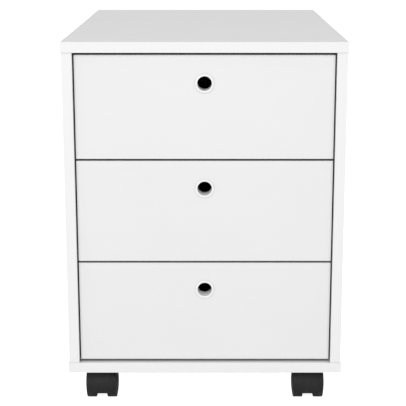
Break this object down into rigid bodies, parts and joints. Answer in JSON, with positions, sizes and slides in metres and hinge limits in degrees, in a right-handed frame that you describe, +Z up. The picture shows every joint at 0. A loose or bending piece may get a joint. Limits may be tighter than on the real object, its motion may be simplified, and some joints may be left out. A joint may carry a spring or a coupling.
{
  "type": "rolling pedestal cabinet",
  "caption": "Low board cabinet on hooded twin-wheel swivel casters, with equal inset drawers pulled open by round finger holes.",
  "frame": {"origin": "on the floor, under the middle of the cabinet's bounding box", "axes": "+Z up, +X to the right as seen from the front, drawers open towards -Y"},
  "size_m": [0.4, 0.6, 0.54],
  "materials": {
    "white_board": "satin",
    "hardboard": "matte",
    "zinc": "satin",
    "rail_paint": "satin",
    "nylon": "matte",
    "ring_plastic": "gloss",
    "dowel_wood": "matte",
    "caster_plastic": "satin",
    "wheel_plastic": "satin"
  },
  "bodies": {
    "carcass": {"top_panel": "white_board", "bottom_panel": "white_board", "left_side_panel": "white_board", "right_side_panel": "white_board", "back_panel": "hardboard", "cam_locks": "zinc", "cam_bolts": "zinc", "dowels": "dowel_wood", "bottom_panel_screws": "zinc", "back_panel_nails": "zinc", "cabinet_rails": "rail_paint", "rail_screws": "zinc", "caster_plates": "zinc", "caster_screws": "zinc"},
    "bottom_drawer": {"bottom_drawer_front": "white_board", "bottom_drawer_left_side": "white_board", "bottom_drawer_right_side": "white_board", "bottom_drawer_back": "white_board", "bottom_drawer_base": "hardboard", "bottom_drawer_finger_ring": "ring_plastic", "bottom_drawer_rails": "rail_paint", "bottom_drawer_fasteners": "zinc"},
    "bottom_drawer_cabinet_rollers": {"bottom_drawer_cabinet_rollers": "nylon"},
    "bottom_drawer_rear_rollers": {"bottom_drawer_rear_rollers": "nylon"},
    "middle_drawer": {"middle_drawer_front": "white_board", "middle_drawer_left_side": "white_board", "middle_drawer_right_side": "white_board", "middle_drawer_back": "white_board", "middle_drawer_base": "hardboard", "middle_drawer_finger_ring": "ring_plastic", "middle_drawer_rails": "rail_paint", "middle_drawer_fasteners": "zinc"},
    "middle_drawer_cabinet_rollers": {"middle_drawer_cabinet_rollers": "nylon"},
    "middle_drawer_rear_rollers": {"middle_drawer_rear_rollers": "nylon"},
    "top_drawer": {"top_drawer_front": "white_board", "top_drawer_left_side": "white_board", "top_drawer_right_side": "white_board", "top_drawer_back": "white_board", "top_drawer_base": "hardboard", "top_drawer_finger_ring": "ring_plastic", "top_drawer_rails": "rail_paint", "top_drawer_fasteners": "zinc"},
    "top_drawer_cabinet_rollers": {"top_drawer_cabinet_rollers": "nylon"},
    "top_drawer_rear_rollers": {"top_drawer_rear_rollers": "nylon"},
    "front_left_caster": {"front_left_caster_housing": "caster_plastic", "front_left_caster_axle": "zinc"},
    "front_left_caster_left_wheel": {"front_left_caster_left_wheel": "wheel_plastic"},
    "front_left_caster_right_wheel": {"front_left_caster_right_wheel": "wheel_plastic"},
    "front_right_caster": {"front_right_caster_housing": "caster_plastic", "front_right_caster_axle": "zinc"},
    "front_right_caster_left_wheel": {"front_right_caster_left_wheel": "wheel_plastic"},
    "front_right_caster_right_wheel": {"front_right_caster_right_wheel": "wheel_plastic"},
    "rear_left_caster": {"rear_left_caster_housing": "caster_plastic", "rear_left_caster_axle": "zinc"},
    "rear_left_caster_left_wheel": {"rear_left_caster_left_wheel": "wheel_plastic"},
    "rear_left_caster_right_wheel": {"rear_left_caster_right_wheel": "wheel_plastic"},
    "rear_right_caster": {"rear_right_caster_housing": "caster_plastic", "rear_right_caster_axle": "zinc"},
    "rear_right_caster_left_wheel": {"rear_right_caster_left_wheel": "wheel_plastic"},
    "rear_right_caster_right_wheel": {"rear_right_caster_right_wheel": "wheel_plastic"}
  },
  "joints": [
    {"name": "bottom_drawer_slide", "type": "slide", "parent": "carcass", "child": "bottom_drawer", "axis": [0, -1, 0], "range_m": [0, 0.37]},
    {"name": "bottom_drawer_cabinet_rollers_spin", "type": "hinge", "parent": "carcass", "child": "bottom_drawer_cabinet_rollers", "pos_m": [0, -0.261, 0.0965], "axis": [1, 0, 0], "continuous": true},
    {"name": "bottom_drawer_rear_rollers_spin", "type": "hinge", "parent": "bottom_drawer", "child": "bottom_drawer_rear_rollers", "pos_m": [0, 0.209, 0.0963], "axis": [1, 0, 0], "continuous": true},
    {"name": "middle_drawer_slide", "type": "slide", "parent": "carcass", "child": "middle_drawer", "axis": [0, -1, 0], "range_m": [0, 0.37]},
    {"name": "middle_drawer_cabinet_rollers_spin", "type": "hinge", "parent": "carcass", "child": "middle_drawer_cabinet_rollers", "pos_m": [0, -0.261, 0.2465], "axis": [1, 0, 0], "continuous": true},
    {"name": "middle_drawer_rear_rollers_spin", "type": "hinge", "parent": "middle_drawer", "child": "middle_drawer_rear_rollers", "pos_m": [0, 0.209, 0.2463], "axis": [1, 0, 0], "continuous": true},
    {"name": "top_drawer_slide", "type": "slide", "parent": "carcass", "child": "top_drawer", "axis": [0, -1, 0], "range_m": [0, 0.37]},
    {"name": "top_drawer_cabinet_rollers_spin", "type": "hinge", "parent": "carcass", "child": "top_drawer_cabinet_rollers", "pos_m": [0, -0.261, 0.3965], "axis": [1, 0, 0], "continuous": true},
    {"name": "top_drawer_rear_rollers_spin", "type": "hinge", "parent": "top_drawer", "child": "top_drawer_rear_rollers", "pos_m": [0, 0.209, 0.3963], "axis": [1, 0, 0], "continuous": true},
    {"name": "front_left_caster_swivel", "type": "hinge", "parent": "carcass", "child": "front_left_caster", "pos_m": [-0.1551, -0.232, 0.04], "axis": [0, 0, 1], "continuous": true},
    {"name": "front_left_caster_left_wheel_spin", "type": "hinge", "parent": "front_left_caster", "child": "front_left_caster_left_wheel", "pos_m": [-0.1551, -0.25, 0.024], "axis": [1, 0, 0], "continuous": true},
    {"name": "front_left_caster_right_wheel_spin", "type": "hinge", "parent": "front_left_caster", "child": "front_left_caster_right_wheel", "pos_m": [-0.1551, -0.25, 0.024], "axis": [1, 0, 0], "continuous": true},
    {"name": "front_right_caster_swivel", "type": "hinge", "parent": "carcass", "child": "front_right_caster", "pos_m": [0.1551, -0.232, 0.04], "axis": [0, 0, 1], "continuous": true},
    {"name": "front_right_caster_left_wheel_spin", "type": "hinge", "parent": "front_right_caster", "child": "front_right_caster_left_wheel", "pos_m": [0.1551, -0.25, 0.024], "axis": [1, 0, 0], "continuous": true},
    {"name": "front_right_caster_right_wheel_spin", "type": "hinge", "parent": "front_right_caster", "child": "front_right_caster_right_wheel", "pos_m": [0.1551, -0.25, 0.024], "axis": [1, 0, 0], "continuous": true},
    {"name": "rear_left_caster_swivel", "type": "hinge", "parent": "carcass", "child": "rear_left_caster", "pos_m": [-0.1551, 0.232, 0.04], "axis": [0, 0, 1], "continuous": true},
    {"name": "rear_left_caster_left_wheel_spin", "type": "hinge", "parent": "rear_left_caster", "child": "rear_left_caster_left_wheel", "pos_m": [-0.1551, 0.214, 0.024], "axis": [1, 0, 0], "continuous": true},
    {"name": "rear_left_caster_right_wheel_spin", "type": "hinge", "parent": "rear_left_caster", "child": "rear_left_caster_right_wheel", "pos_m": [-0.1551, 0.214, 0.024], "axis": [1, 0, 0], "continuous": true},
    {"name": "rear_right_caster_swivel", "type": "hinge", "parent": "carcass", "child": "rear_right_caster", "pos_m": [0.1551, 0.232, 0.04], "axis": [0, 0, 1], "continuous": true},
    {"name": "rear_right_caster_left_wheel_spin", "type": "hinge", "parent": "rear_right_caster", "child": "rear_right_caster_left_wheel", "pos_m": [0.1551, 0.214, 0.024], "axis": [1, 0, 0], "continuous": true},
    {"name": "rear_right_caster_right_wheel_spin", "type": "hinge", "parent": "rear_right_caster", "child": "rear_right_caster_right_wheel", "pos_m": [0.1551, 0.214, 0.024], "axis": [1, 0, 0], "continuous": true}
  ],
  "couplings": [
    {"joint": "bottom_drawer_cabinet_rollers_spin", "follows": "bottom_drawer_slide", "rad_per_m": 105.26},
    {"joint": "bottom_drawer_rear_rollers_spin", "follows": "bottom_drawer_slide", "rad_per_m": 105.26},
    {"joint": "middle_drawer_cabinet_rollers_spin", "follows": "middle_drawer_slide", "rad_per_m": 105.26},
    {"joint": "middle_drawer_rear_rollers_spin", "follows": "middle_drawer_slide", "rad_per_m": 105.26},
    {"joint": "top_drawer_cabinet_rollers_spin", "follows": "top_drawer_slide", "rad_per_m": 105.26},
    {"joint": "top_drawer_rear_rollers_spin", "follows": "top_drawer_slide", "rad_per_m": 105.26}
  ]
}
